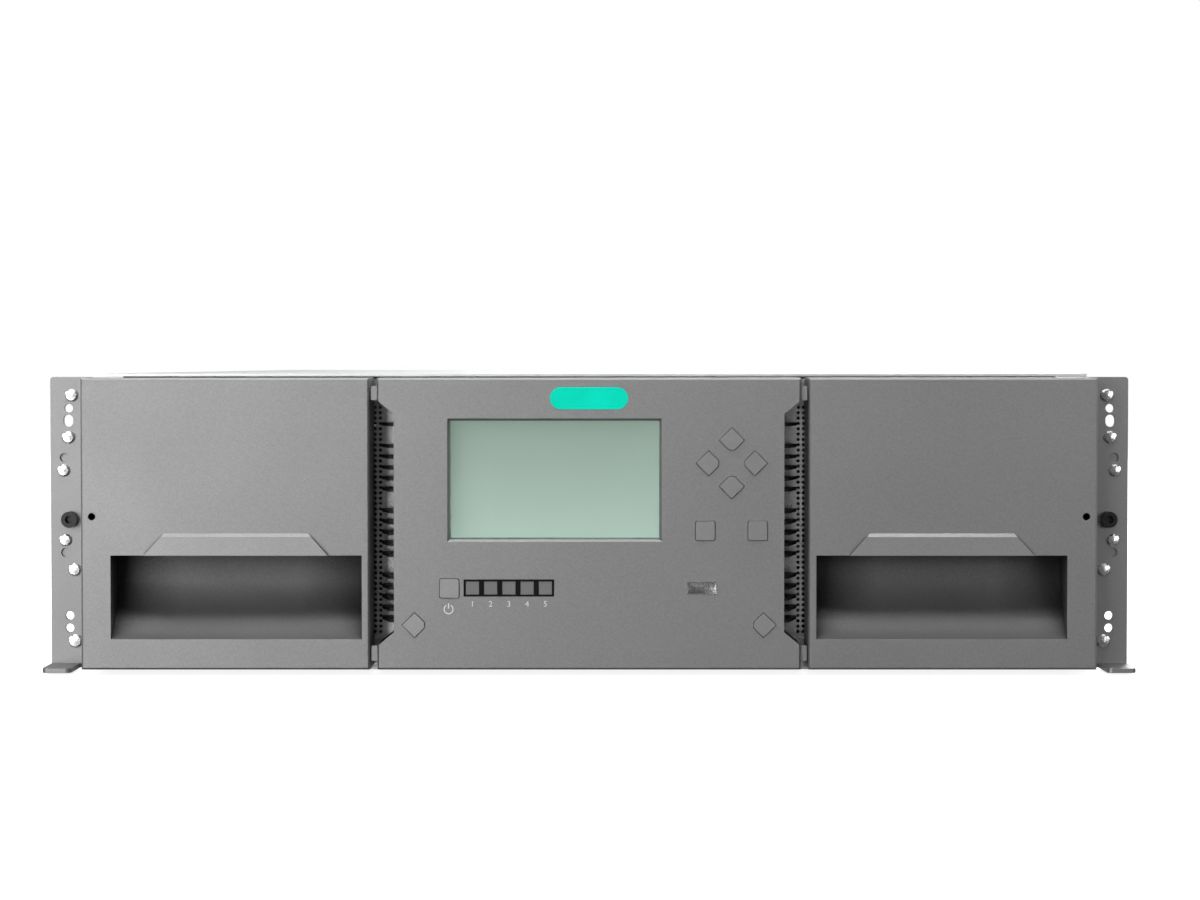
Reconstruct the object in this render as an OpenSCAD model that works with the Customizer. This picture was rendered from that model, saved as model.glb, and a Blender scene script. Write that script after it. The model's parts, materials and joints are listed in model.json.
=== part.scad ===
// Rack-mounted data tape library, three rack units high.
// Two cartridge magazines slide out of the front, either side of a control panel.
// Between them a robot lifts, travels, turns and reaches, and three tape drives sit behind it.
// X runs to the right, the front faces -Y, Z is up.
// The origin is the middle of the flat underside, level with the rear face of the rack ears.

/* [Chassis] */
// Height from the underside to the top of the cover
body_h = 132.6; // [132:0.1:134]
// Depth from the rack ears to the rear panel
body_d = 843; // [835:1:870]
// Thickness of the folded sheet
sheet = 1.2; // [1:0.1:1.3]
// Thickness of the floor pan
floor_t = 1.5; // [1.2:0.1:1.8]
// Width of the flange along the top of each side wall
flange_w = 14; // [11:0.5:15]

/* [Rack ears] */
// Width over both ears
rack_w = 482.6; // [481:0.1:483]
// Width of an ear outside its side wall
ear_w = 18.3; // [17.5:0.1:19]
// Distance of the rack holes from the ear's outer edge
hole_in = 8.75; // [8.5:0.05:9.1]
// Thickness of the ears
ear_t = 2; // [1.6:0.1:2.5]
// Distance from the top of the cover to the top of the ears
ear_top_gap = 1.4; // [1.2:0.1:3]
// How far the lower lip of the ear stands forward
ear_lip = 24; // [10:1:26]
// Depth of the flange that fixes the ear to the side wall
ear_flange = 42; // [30:1:60]
// Radius of the rack screws
rack_screw_r = 3; // [2.4:0.1:3.2]
// Length of the rack screws behind the ears
rack_screw_l = 12; // [8:1:16]

/* [Front] */
// Distance from the rear face of the ears to the front of the bezels
front_reach = 30; // [28:0.5:34]
// Distance from the top of the cover to the top of the bezels
bezel_top_gap = 1.7; // [1.3:0.1:2.4]
// Height of the lower edge of the bezels
bezel_z = 2.7; // [2.3:0.1:3]
// Wall of the bezel mouldings
bezel_wall = 3; // [2.4:0.1:3.4]
// Bevel around the front of the bezels
bezel_bevel = 0.8; // [0.4:0.1:1.2]
// Width of the control panel bezel
panel_w = 186; // [184:0.5:187]
// Gap between the control panel and a magazine bezel
panel_gap = 3.4; // [2.6:0.1:3.8]
// Gap behind a magazine bezel
seat_gap = 1; // [0.6:0.1:1.5]

/* [Scoop handles] */
// Height of the finger scoop
scoop_h = 36.8; // [34:0.2:38]
// Distance from the scoop to the bezel's outer end
scoop_out = 13; // [12.4:0.1:16]
// Radius of the scoop's curved back
scoop_r = 40.3; // [38:0.1:41]
// Depth of the scoop at its top
scoop_depth = 24; // [20:0.5:25]
// Height of the scoop's lower edge above the bezel's
scoop_z = 13.4; // [11:0.1:15]
// Distance from the scoop to the bezel's inner end
scoop_in = 3.4; // [3.2:0.1:4]
// Height of the raised grip above the scoop
grip_h = 9.8; // [8:0.1:12]
// Width of the grip at its lower edge
grip_w = 80.9; // [70:0.1:90]
// How far the grip stands out at its lower edge
grip_out = 1.6; // [1:0.1:2]
// Diameter of the manual release hole
release_d = 3.2; // [2.6:0.1:4]

/* [Control panel] */
// Width of the screen window
screen_w = 92.2; // [86:0.1:95]
// Height of the screen window
screen_h = 52.1; // [48:0.1:54]
// Sideways place of the screen's middle
screen_x = -15.1; // [-17:0.1:-13]
// Distance from the top of the bezel to the screen's middle
screen_drop = 44.85; // [43:0.05:46]
// Side of the square buttons
key_w = 8.3; // [7.4:0.1:9]
// Half of the diagonal of the diamond buttons
diamond_r = 5.4; // [4.8:0.1:5.8]
// Distance of the four arrow buttons from their middle
arrow_reach = 10.1; // [9.6:0.1:11]
// Clearance around each button
key_gap = 0.2; // [0.1:0.05:0.35]
// Travel of the buttons
key_travel = 0.8; // [0.5:0.1:1]
// How far the buttons stand out of the panel
key_out = 0.9; // [0.6:0.1:1.2]
// Side of a status lens
led_w = 5.8; // [5:0.1:6.2]
// Pitch of the status lenses
led_pitch = 8; // [7.4:0.1:8.3]
// Height of the status strip
led_strip_h = 7.4; // [7:0.1:8.2]
// Width of the badge recess
badge_w = 34.2; // [30:0.2:40]
// Height of the badge recess
badge_h = 9.7; // [8:0.1:10.5]

/* [Side vents] */
// Depth of the vent cut into each side of the panel
vent_w = 7.3; // [6:0.1:8]
// Mean distance from the vents to the bezel's top and bottom
vent_end = 10.15; // [8:0.05:14]
// Pitch of the louvres
louvre_pitch = 4.8; // [4.4:0.1:5.4]
// Thickness of a louvre
louvre_t = 1.3; // [1:0.1:1.6]
// Diameter of the holes in the vent screens
screen_hole = 1.5; // [1.2:0.1:1.7]

/* [Magazines] */
// Number of cartridge columns in a magazine
columns = 4; // [4:1:4]
// Number of cartridge levels
levels = 5; // [5:1:5]
// Pitch of the columns
column_pitch = 106; // [105.4:0.1:106.4]
// Space between the top level and the cover
tray_room = 4.9; // [4.9:0.1:6]
// Height of the lowest cartridge level
level_z = 11.5; // [11.4:0.1:11.6]
// Thickness of the tray's sheet
tray_t = 1.2; // [1:0.1:1.3]
// Width of the ledges that carry the cartridges
ledge_w = 5; // [3:0.1:6]
// Distance from the bezel's inner end to the tray's open side
aisle_step = 4.6; // [4.2:0.1:5.6]
// Distance from the tray's outer wall to the outside of the chassis
tray_side = 8; // [7:0.2:9]
// Space between the magazine's front and the first column
tray_lead = 49; // [48:0.5:50]

/* [Robot] */
// Module of the lift teeth
tooth_m = 0.8; // [0.78:0.01:0.82]
// Number of teeth on each lift pinion
pinion_teeth = 10; // [10:1:10]
// Height of the lift shafts at rest
shaft_z = 8; // [7.95:0.01:8.1]
// Radius of the lift shafts
shaft_r = 1.75; // [1.5:0.05:1.8]
// Distance of the lift posts from the trays
post_in = 21; // [20.4:0.1:21.4]
// Radius of the guide rods
rod_r = 2.5; // [2:0.1:2.6]
// Running clearance of rods and shafts
run_gap = 0.06; // [0.03:0.01:0.1]
// Half of the picker tray's width
picker_w = 57.7; // [57.4:0.1:58.4]
// Length of the picker tray
picker_l = 88; // [84:1:90]
// Radius of the turntable's hub
turn_r = 12; // [8:0.5:16]

/* [Rear modules] */
// Width of a tape drive
drive_w = 146; // [145:0.2:146.4]
// Space over a tape drive
drive_gap = 0.9; // [0.8:0.1:2]
// Length of a tape drive
drive_l = 205; // [195:1:215]
// Space between the magazines and the drive sleds
rear_gap = 40.8; // [40.8:0.2:48]
// Thickness of the sleds' sheet
sled_t = 0.8; // [0.6:0.1:0.8]
// Width of a power supply
psu_w = 73.5; // [70:0.5:75]
// Space between the two power supplies
psu_gap = 4; // [3.4:0.1:5]
// Length of a power supply
psu_l = 185; // [160:1:220]
// Distance from the outside of the chassis to the power supplies and the controller
module_side = 12.7; // [10:0.1:16]
// Radius of the fan opening
fan_r = 16.5; // [14:0.5:17]
// Width of the controller module
ctrl_w = 84; // [80:0.5:86]
// Height of the controller module
ctrl_h = 40; // [38:0.5:44]
// Length of the controller module
ctrl_l = 160; // [140:1:200]
// Clearance of the modules in their bays
bay_gap = 0.8; // [0.5:0.1:1]

/* [Latches] */
// Radius of the latch pivots
pivot_r = 2.5; // [2:0.1:3]
// Angle between the released and the locked latch
latch_turn = 15; // [13:0.5:16]

/* [Hidden] */
$fn = 64;

// Small step past a face, so that a cut leaves no skin
cut = 0.5;
body_w = rack_w - 2 * ear_w;
half_w = body_w / 2;
wall_x = half_w - sheet;
roof_z = body_h - sheet;
front_y = -front_reach;
bezel_top = body_h - bezel_top_gap;
bezel_h = bezel_top - bezel_z;
bezel_back = -ear_t - seat_gap;
panel_x = panel_w / 2;
mag_in = panel_x + panel_gap;
aisle = mag_in + aisle_step;
tray_x = half_w - tray_side;
pan_lip_h = 10;
pan_lip_x = wall_x - sheet;
// First and last place of what stands on the floor pan behind the front frame
rail_y = 4;

// Colours
c_bezel = [0.42, 0.42, 0.43];
c_sheet = [0.70, 0.71, 0.72];
c_dark = [0.12, 0.12, 0.13];
c_key = [0.50, 0.50, 0.51];
c_steel = [0.80, 0.80, 0.82];
c_tray = [0.25, 0.26, 0.28];
c_board = [0.10, 0.35, 0.22];

// A box between two corners
module block(low, high) {
    translate(low)
        cube(high - low);
}

// An XZ profile from y0 to y1
module along_y(y0, y1) {
    translate([0, y1, 0])
        rotate([90, 0, 0])
            linear_extrude(y1 - y0)
                children();
}

// A YZ profile from x0 to x1
module along_x(x0, x1) {
    translate([x0, 0, 0])
        rotate([90, 0, 90])
            linear_extrude(x1 - x0)
                children();
}

// A round bar along Y
module bar_y(x, z, r, y0, y1) {
    translate([x, y0, z])
        rotate([-90, 0, 0])
            cylinder(r = r, h = y1 - y0);
}

// A round bar along X
module bar_x(y, z, r, x0, x1) {
    translate([x0, y, z])
        rotate([0, 90, 0])
            cylinder(r = r, h = x1 - x0);
}

// A round post along Z
module post(x, y, r, z0, z1) {
    translate([x, y, z0])
        cylinder(r = r, h = z1 - z0);
}

// A flat rectangle between two corners
module area(low, high) {
    translate(low)
        square(high - low);
}

// A flat rectangle with round corners
module round_area(low, high, r) {
    area(low + [r, 0], high - [r, 0]);
    area(low + [0, r], high - [0, r]);
    for (x = [low[0] + r, high[0] - r], z = [low[1] + r, high[1] - r])
        translate([x, z])
            circle(r);
}

// Both hands of what is drawn on the right
module both_sides() {
    children();
    mirror([1, 0, 0])
        children();
}

// ---------------------------------------------------------------- chassis

module bottom_pan() {
    color(c_sheet) {
        block([-half_w, -ear_t, 0], [half_w, body_d, floor_t]);
        both_sides()
            block([pan_lip_x, rail_y, floor_t], [wall_x, body_d - rail_y, pan_lip_h]);
    }
}

// Places of the screws along one edge of the cover
cover_screw_y = [for (i = [0 : 5]) body_d * (2 * i + 1) / 12];
cover_screw_x = half_w - flange_w / 2 - 1;
cover_screw_r = 1.5;
cover_head_r = 2.7;

module cover_screw_cones(gap) {
    both_sides()
        for (y = cover_screw_y)
            translate([cover_screw_x, y, roof_z])
                cylinder(r1 = cover_screw_r + gap, r2 = cover_head_r + gap, h = sheet);
}

module top_cover() {
    color(c_sheet)
        difference() {
            block([-half_w, 0, roof_z], [half_w, body_d, body_h]);
            cover_screw_cones(0);
        }
}

module cover_screws() {
    color(c_steel) {
        cover_screw_cones(0);
        both_sides()
            for (y = cover_screw_y)
                post(cover_screw_x, y, cover_screw_r, roof_z - sheet - 1, roof_z);
    }
}

// Right-hand side wall: a sheet on the pan, folded in along the top to carry the cover
module side_wall() {
    color(c_sheet)
        difference() {
            union() {
                block([wall_x, 0, floor_t], [half_w, body_d, roof_z]);
                block([half_w - flange_w, 0, roof_z - sheet], [half_w, body_d, roof_z]);
            }
            for (y = cover_screw_y)
                post(cover_screw_x, y, cover_screw_r, roof_z - sheet - cut, roof_z + cut);
            ear_fixings(wall_x - cut, half_w + cut);
        }
}

module right_side_wall() {
    side_wall();
}

module left_side_wall() {
    mirror([1, 0, 0])
        side_wall();
}

// Manual release hole through the bezel, the tray's front and the front frame
release_x = half_w - 4.8;
release_z = 70;
// Mouth of a magazine bay in the front frame
bay_x0 = aisle - 1.4;
bay_x1 = tray_x + 1.4;
bay_z0 = floor_t + 1;
bay_z1 = roof_z - 2.2;
// Air passage behind each side vent
air_x0 = panel_x - vent_w;
air_x1 = bay_x0 - 2;
// Cable opening behind the panel board
cable_x = 30;
cable_z0 = bezel_z + 37.3;
cable_z1 = bezel_top - 40.9;

module front_frame() {
    color(c_sheet)
        difference() {
            along_y(0, sheet)
                difference() {
                    area([-wall_x, floor_t], [wall_x, roof_z - sheet]);
                    both_sides()
                        translate([release_x, release_z])
                            circle(d = release_d);
                    both_sides() {
                        area([bay_x0, bay_z0], [bay_x1, bay_z1]);
                        area([air_x0 + 2, screen_z0], [air_x1, screen_z1]);
                    }
                    area([-cable_x, cable_z0], [cable_x, cable_z1]);
                }
        }
}

module rear_panel() {
    slot_pitch = 9;
    color(c_sheet)
        along_y(body_d - sheet, body_d)
            difference() {
                union() {
                    area([-wall_x, floor_t], [wall_x, roof_z - sheet]);
                    area([flange_w - half_w, floor_t], [half_w - flange_w, roof_z]);
                }
                area([-cage_x + 0.6, sled_z(0) - 0.3], [cage_x - 0.6, sled_z(2) + sled_t + drive_h + 0.4]);
                for (i = [0, 1])
                    area([psu_x0 - bay_gap, psu_z(i) - bay_gap], [psu_x1 + bay_gap, psu_z(i) + psu_h + bay_gap]);
                area([ctrl_x0 - bay_gap, ctrl_z - bay_gap], [ctrl_x1 + bay_gap, ctrl_z + ctrl_h + bay_gap]);
                for (i = [0 : floor((ctrl_w - 12) / slot_pitch)], j = [0 : 5])
                    translate([ctrl_x0 + 6 + i * slot_pitch, ctrl_z + ctrl_h + 12 + j * slot_pitch])
                        circle(r = 3, $fn = 6);
                for (i = [0 : floor((psu_w - 10) / slot_pitch)], j = [0 : 1])
                    translate([psu_x0 + 5 + i * slot_pitch, psu_z(1) + psu_h + 12 + j * slot_pitch])
                        circle(r = 3, $fn = 6);
            }
}

// ---------------------------------------------------------------- rack ears

ear_x0 = half_w;
ear_x1 = rack_w / 2;
hole_x = ear_x1 - hole_in;
ear_z0 = 0.8;
ear_z1 = body_h - ear_top_gap;
screw_z = 67.4;
stud_shank_r = 1.5;
// Distance from the row of rack holes, height and head radius of each pressed stud
studs = [[-0.8, ear_z1 - 8.2, 2.8], [0.7, ear_z1 - 27, 2.8], [2.9, ear_z1 - 41.9, 2.7],
    [2.2, 58.1, 2.7], [-1.8, 44.8, 2.8], [-2, 12.8, 3]];
// The same for the small open holes
small_holes = [[0.5, ear_z1 - 14, 1.9], [0.5, 24.2, 1.9], [0.5, 18.6, 1.9]];
// The same for the two shallow dimples
dimples = [[2.6, ear_z1 - 36.2, 2], [2.2, 52.5, 2]];
slot_z = ear_z1 - 19.6;
// Slack of the rack screws in the ears, and how much thinner their captive necks are
rack_screw_gap = 0.3;
neck_cut = 0.5;

// Rivet holes through the ear's flange and the side wall
module ear_fixings(x0, x1) {
    for (y = [12, ear_flange - 10], z = [ear_z0 + 30, ear_z1 - 30])
        bar_x(y, z, 1.6, x0, x1);
}

module ear() {
    color(c_bezel)
        difference() {
            union() {
                along_y(-ear_t, 0)
                    round_area([ear_x0, ear_z0], [ear_x1, ear_z1], 1.5);
                along_y(-ear_t, 0)
                    area([ear_x0, ear_z0], [ear_x0 + ear_t, ear_z1]);
                block([ear_x0, -ear_t, 8], [ear_x0 + ear_t, ear_flange, ear_z1 - 8]);
                translate([0, 0, ear_z0])
                    linear_extrude(ear_t)
                        round_area([ear_x0 + 5.5, -ear_t - ear_lip], [ear_x1, -0.1], 2.4);
            }
            for (s = studs)
                bar_y(hole_x + s[0], s[1], stud_shank_r, -ear_t - cut, cut);
            for (s = small_holes)
                bar_y(hole_x + s[0], s[1], s[2], -ear_t - cut, cut);
            for (s = dimples)
                bar_y(hole_x + s[0], s[1], s[2], -ear_t - cut, -ear_t + 1.2);
            bar_y(hole_x, screw_z, rack_screw_r + rack_screw_gap, -ear_t - cut, cut);
            along_y(-ear_t - cut, cut)
                round_area([hole_x - 1.4, slot_z - 2.7], [hole_x + 2.8, slot_z + 2.7], 2.05);
            ear_fixings(ear_x0 - cut, ear_x0 + ear_t + cut);
        }
}

module right_ear() {
    ear();
}

module left_ear() {
    mirror([1, 0, 0])
        ear();
}

// Pressed studs: a low domed head in front, flush behind
module ear_studs() {
    color(c_steel)
        both_sides()
            for (s = studs)
                translate([hole_x + s[0], 0, s[1]])
                    rotate([90, 0, 0])
                        rotate_extrude()
                            polygon([
                                [0, 0], [stud_shank_r, 0], [stud_shank_r, ear_t], [s[2], ear_t],
                                [s[2], ear_t + 0.8], [s[2] - 0.6, ear_t + 1.4], [0, ear_t + 1.6]
                            ]);
}

// Captive rack screws with a socket in the head
module rack_screws() {
    head_r = 3.6;
    head_h = 4;
    color(c_dark)
        both_sides()
            difference() {
                union() {
                    bar_y(hole_x, screw_z, head_r, -ear_t - head_h, -ear_t);
                    bar_y(hole_x, screw_z, rack_screw_r - neck_cut, -ear_t, 0);
                    bar_y(hole_x, screw_z, rack_screw_r, 0, rack_screw_l);
                }
                translate([hole_x, -ear_t - head_h + 2.4, screw_z])
                    rotate([90, 0, 0])
                        cylinder(r = 1.9, h = 3, $fn = 6);
            }
}

// ---------------------------------------------------------------- control panel

panel_wall_y = front_y + bezel_wall + 1;
panel_in_x = panel_x - vent_w - bezel_wall;
screen_x0 = screen_x - screen_w / 2;
screen_x1 = screen_x + screen_w / 2;
vent_mid = (bezel_z + bezel_top) / 2 + 0.3;
vent_h = bezel_h - 2 * vent_end;
vent_z0 = vent_mid - vent_h / 2;
vent_z1 = vent_mid + vent_h / 2;
vent_slope = 6;
screen_z0 = vent_z0 + 1;
screen_z1 = vent_z1 - 1;
badge_z = bezel_top - 8.95;
screen_z = bezel_top - screen_drop;
power_x = 31.7 - panel_x;
led_x0 = power_x + 10.1;
led_z = 38.7;
led_end = 0.95;
usb_x = panel_x - 43.25;
usb_z = 38.6;
usb_w = 13.1;
usb_h = 5.7;
arrow_x = panel_x - 30.4;
arrow_z = bezel_top - 37.4;
key_z = bezel_top - 67.1;
key_x = [panel_x - 42, panel_x - 19];
power_z = 38.5;
corner_x = panel_x - 16.4;
corner_z = 22.4;

// Front edges of a bezel, bevelled all round
module bezel_blank(x0, x1, y1) {
    b = bezel_bevel;
    intersection() {
        translate([0, 0, bezel_z])
            linear_extrude(bezel_h)
                polygon([[x0, y1], [x0, front_y + b], [x0 + b, front_y], [x1 - b, front_y],
                    [x1, front_y + b], [x1, y1]]);
        along_x(x0, x1)
            polygon([[y1, bezel_z], [front_y + b, bezel_z], [front_y, bezel_z + b],
                [front_y, bezel_top - b], [front_y + b, bezel_top], [y1, bezel_top]]);
    }
}

// A diamond with the corner that faces the middle of its group cut off
module diamond(grow) {
    d = diamond_r + grow * sqrt(2);
    t = diamond_r * 0.78 + grow;
    polygon([[-d, 0], [0, -d], [t, t - d], [t, d - t], [0, d]]);
}

module key_square(w) {
    round_area([-w / 2, -w / 2], [w / 2, w / 2], 0.8);
}

// Outline of one vent, open at the panel's edge
module vent_outline() {
    x0 = panel_x - vent_w;
    polygon([[x0, vent_z0 + vent_slope], [panel_x, vent_z0], [panel_x + cut, vent_z0],
        [panel_x + cut, vent_z1], [panel_x, vent_z1], [x0, vent_z1 - vent_slope]]);
}

// Louvres: thin fins that run back from the vent's inner wall, with a wide gap after each six
module louvres() {
    x0 = panel_x - vent_w;
    count = floor((vent_h - 2 * vent_slope) / louvre_pitch);
    z0 = vent_mid - (count - 1) * louvre_pitch / 2;
    for (i = [0 : count - 1])
        if (i % 6 != 5)
            translate([0, 0, z0 + i * louvre_pitch - louvre_t / 2])
                linear_extrude(louvre_t)
                    polygon([[x0 - 0.5, front_y + 2.5], [x0 + 2.2, front_y + 4], [panel_x - 0.6, -9],
                        [panel_x - 0.6, -4], [x0 - 0.5, -4]]);
}

module panel_bezel() {
    color(c_bezel)
        difference() {
            union() {
                difference() {
                    bezel_blank(-panel_x, panel_x, 0);
                    block([-panel_in_x, panel_wall_y, bezel_z + bezel_wall],
                        [panel_in_x, cut, bezel_top - bezel_wall]);
                    both_sides()
                        along_y(front_y - cut, cut)
                            vent_outline();
                }
                both_sides()
                    louvres();
            }
            along_y(front_y - cut, panel_wall_y + cut) {
                area([screen_x0, screen_z - screen_h / 2], [screen_x1, screen_z + screen_h / 2]);
                translate([arrow_x, arrow_z])
                    for (a = [0 : 90 : 270])
                        rotate(a)
                            translate([-arrow_reach, 0])
                                diamond(key_gap);
                for (x = key_x)
                    translate([x, key_z])
                        key_square(key_w + 2 * key_gap);
                translate([power_x, power_z])
                    key_square(key_w + 2 * key_gap);
                both_sides()
                    translate([corner_x, corner_z])
                        mirror([1, 0])
                            diamond(key_gap);
                area([usb_x - usb_w / 2, usb_z - usb_h / 2], [usb_x + usb_w / 2, usb_z + usb_h / 2]);
            }
            screen_chamfer();
            along_y(front_y - cut, front_y + 1.2)
                badge_outline();
            along_y(front_y - cut, front_y + 2)
                led_outline();
            for (i = [0 : 4])
                block([led_x0 + i * led_pitch - led_w / 2, front_y, led_z - led_w / 2],
                    [led_x0 + i * led_pitch + led_w / 2, panel_wall_y + cut, led_z + led_w / 2]);
        }
}

// Bevel around the front of the screen window
module screen_chamfer() {
    b = 1;
    h = screen_h / 2;
    intersection() {
        along_x(screen_x0 - b, screen_x1 + b)
            polygon([[front_y - b, screen_z - h - 2 * b], [front_y + b, screen_z - h],
                [front_y + b, screen_z + h], [front_y - b, screen_z + h + 2 * b]]);
        translate([0, 0, screen_z - h - b])
            linear_extrude(screen_h + 2 * b)
                polygon([[screen_x0 - 2 * b, front_y - b], [screen_x0, front_y + b],
                    [screen_x1, front_y + b], [screen_x1 + 2 * b, front_y - b]]);
    }
}

module badge_outline() {
    round_area([-badge_w / 2, badge_z - badge_h / 2], [badge_w / 2, badge_z + badge_h / 2], badge_h / 2 - 0.01);
}

module led_outline() {
    x0 = led_x0 - led_w / 2 - led_end;
    x1 = led_x0 + 4 * led_pitch + led_w / 2 + led_end;
    area([x0, led_z - led_strip_h / 2], [x1, led_z + led_strip_h / 2]);
}

module badge_insert() {
    color([0.05, 0.66, 0.53])
        along_y(front_y - 0.3, front_y + 1.2)
            badge_outline();
}

module led_strip() {
    color(c_dark)
        difference() {
            along_y(front_y - 0.2, front_y + 2)
                led_outline();
            for (i = [0 : 4])
                block([led_x0 + i * led_pitch - led_w / 2, front_y - cut, led_z - led_w / 2],
                    [led_x0 + i * led_pitch + led_w / 2, front_y + 2 + cut, led_z + led_w / 2]);
        }
}

module led_lenses() {
    color([0.35, 0.36, 0.37])
        for (i = [0 : 4])
            block([led_x0 + i * led_pitch - led_w / 2, front_y, led_z - led_w / 2],
                [led_x0 + i * led_pitch + led_w / 2, board_y - 1, led_z + led_w / 2]);
}

lens_t = 1;
lens_rim = 3;
board_t = 1.6;
board_y = front_y + 17;
module_y = panel_wall_y + lens_t;

module display_lens() {
    color([0.66, 0.75, 0.71, 0.5])
        block([screen_x0 - lens_rim, panel_wall_y, screen_z - screen_h / 2 - lens_rim],
            [screen_x1 + lens_rim, module_y, screen_z + screen_h / 2 + lens_rim]);
}

module display_module() {
    color([0.62, 0.72, 0.67])
        difference() {
            block([screen_x0 - lens_rim, module_y, screen_z - screen_h / 2 - lens_rim],
                [screen_x1 + lens_rim, board_y, screen_z + screen_h / 2 + lens_rim]);
            block([screen_x0, board_y - 3, screen_z - screen_h / 2],
                [screen_x1, board_y + cut, screen_z + screen_h / 2]);
        }
}

// Socket shell for a memory stick, open to the front, with its tongue
module usb_port() {
    shell = 0.4;
    x0 = usb_x - usb_w / 2;
    z0 = usb_z - usb_h / 2;
    color(c_steel) {
        difference() {
            block([x0, front_y - 0.2, z0], [x0 + usb_w, board_y, z0 + usb_h]);
            block([x0 + shell, front_y - cut, z0 + shell],
                [x0 + usb_w - shell, board_y - 2, z0 + usb_h - shell]);
        }
        block([x0 + 1, front_y + 1.5, z0 + usb_h - shell - 2.1],
            [x0 + usb_w - 1, board_y - 1.8, z0 + usb_h - shell - 0.3]);
    }
}

// Places of the bosses that carry the circuit board
boss_x = panel_x - 23;
boss_z = [bezel_z + 9.3, bezel_top - 12.9];

// Circuit board behind the panel, on four bosses, with a switch behind each button
module panel_board() {
    boss_r = 3;
    color(c_board)
        difference() {
            block([-panel_in_x + 2, board_y, bezel_z + bezel_wall + 4],
                [panel_in_x - 2, board_y + board_t, bezel_top - bezel_wall - 4]);
            for (x = [-boss_x, boss_x], z = boss_z)
                bar_y(x, z, 1.6, board_y - cut, board_y + board_t + cut);
        }
    color(c_dark)
        for (k = switch_places())
            block([k[0] - 2.5, board_y - 2, k[1] - 2.5], [k[0] + 2.5, board_y, k[1] + 2.5]);
    color(c_steel)
        for (x = [-boss_x, boss_x], z = boss_z)
            difference() {
                bar_y(x, z, boss_r, board_y + board_t, 0);
                bar_y(x, z, 1.2, board_y, -3);
            }
}

function switch_places() = [
    [arrow_x, arrow_z + arrow_reach], [arrow_x, arrow_z - arrow_reach],
    [arrow_x - arrow_reach, arrow_z], [arrow_x + arrow_reach, arrow_z],
    [key_x[0], key_z], [key_x[1], key_z], [power_x, power_z],
    [-corner_x, corner_z], [corner_x, corner_z]
];

// A button: cap through the panel, retaining flange behind it and a stem to its switch
module button(x, z) {
    flange_y = panel_wall_y + 0.1;
    stem_r = 1.8;
    color(c_key)
        translate([x, 0, z]) {
            intersection() {
                along_y(front_y - key_out, flange_y)
                    children();
                cap_bevel();
            }
            along_y(flange_y, flange_y + 1)
                square(key_w + 1.6, center = true);
            bar_y(0, 0, stem_r, flange_y + 1, board_y - 2 - key_travel - 0.2);
        }
}

// Bevel of a button's front
module cap_bevel() {
    w = diamond_r + 1;
    y0 = front_y - key_out;
    y1 = panel_wall_y + 1;
    intersection() {
        along_x(-w, w)
            polygon([[y1, -w], [y0 + 0.5, -w], [y0, -w + 0.5], [y0, w - 0.5], [y0 + 0.5, w], [y1, w]]);
        translate([0, 0, -w])
            linear_extrude(2 * w)
                polygon([[-w, y1], [-w, y0 + 0.5], [-w + 0.5, y0], [w - 0.5, y0], [w, y0 + 0.5], [w, y1]]);
    }
}

module button_up() {
    button(arrow_x, arrow_z + arrow_reach)
        rotate(-90)
            diamond(0);
}

module button_down() {
    button(arrow_x, arrow_z - arrow_reach)
        rotate(90)
            diamond(0);
}

module button_left() {
    button(arrow_x - arrow_reach, arrow_z)
        diamond(0);
}

module button_right() {
    button(arrow_x + arrow_reach, arrow_z)
        rotate(180)
            diamond(0);
}

module button_back() {
    button(key_x[0], key_z)
        key_square(key_w);
}

module button_enter() {
    button(key_x[1], key_z)
        key_square(key_w);
}

module button_power() {
    button(power_x, power_z)
        key_square(key_w);
}

module button_release_left() {
    button(-corner_x, corner_z)
        diamond(0);
}

module button_release_right() {
    button(corner_x, corner_z)
        mirror([1, 0])
            diamond(0);
}

// Perforated sheet behind each side vent
module vent_screens() {
    pitch = louvre_pitch / 2;
    rows = floor((screen_z1 - screen_z0 - 2) / pitch);
    z0 = (screen_z0 + screen_z1) / 2 - (rows - 1) * pitch / 2;
    color(c_sheet)
        both_sides()
            along_y(sheet, sheet + 0.8)
                difference() {
                    area([air_x0, screen_z0 - 2], [air_x1 + 1, screen_z1 + 2]);
                    for (i = [0 : rows - 1], k = [0, 1])
                        translate([air_x1 - 1.4 - k * pitch, z0 + i * pitch])
                            circle(d = screen_hole, $fn = 13);
                }
}

// ---------------------------------------------------------------- magazines

scoop_x0 = mag_in + scoop_in;
scoop_w = half_w - scoop_out - scoop_x0;
scoop_z0 = bezel_z + scoop_z;
scoop_z1 = scoop_z0 + scoop_h;
// Middle of the arc of the scoop's back, in front of the bezel
scoop_cy = front_y + scoop_depth - scoop_r;
grip_mid = scoop_x0 + scoop_w / 2;
grip_slope = 8.8;

module scoop_profile(grow) {
    intersection() {
        translate([scoop_cy, scoop_z1])
            circle(scoop_r + grow, $fn = 96);
        area([front_y - cut - 2, scoop_z0 - grow], [0, scoop_z1 + (grow > 0 ? grow : 0)]);
    }
}

// Raised grip: proud at its lower edge and flush at its top
module grip() {
    b = 1.6;
    intersection() {
        along_y(front_y - grip_out - cut, front_y + 1)
            polygon([[grip_mid - grip_w / 2, scoop_z1], [grip_mid + grip_w / 2, scoop_z1],
                [grip_mid + grip_w / 2 - grip_slope, scoop_z1 + grip_h],
                [grip_mid - grip_w / 2 + grip_slope, scoop_z1 + grip_h]]);
        along_x(grip_mid - grip_w, grip_mid + grip_w)
            polygon([[front_y + 1, scoop_z1], [front_y - grip_out, scoop_z1],
                [front_y - grip_out * 0.6, scoop_z1 + grip_h - b], [front_y, scoop_z1 + grip_h],
                [front_y + 1, scoop_z1 + grip_h]]);
    }
}

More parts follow.
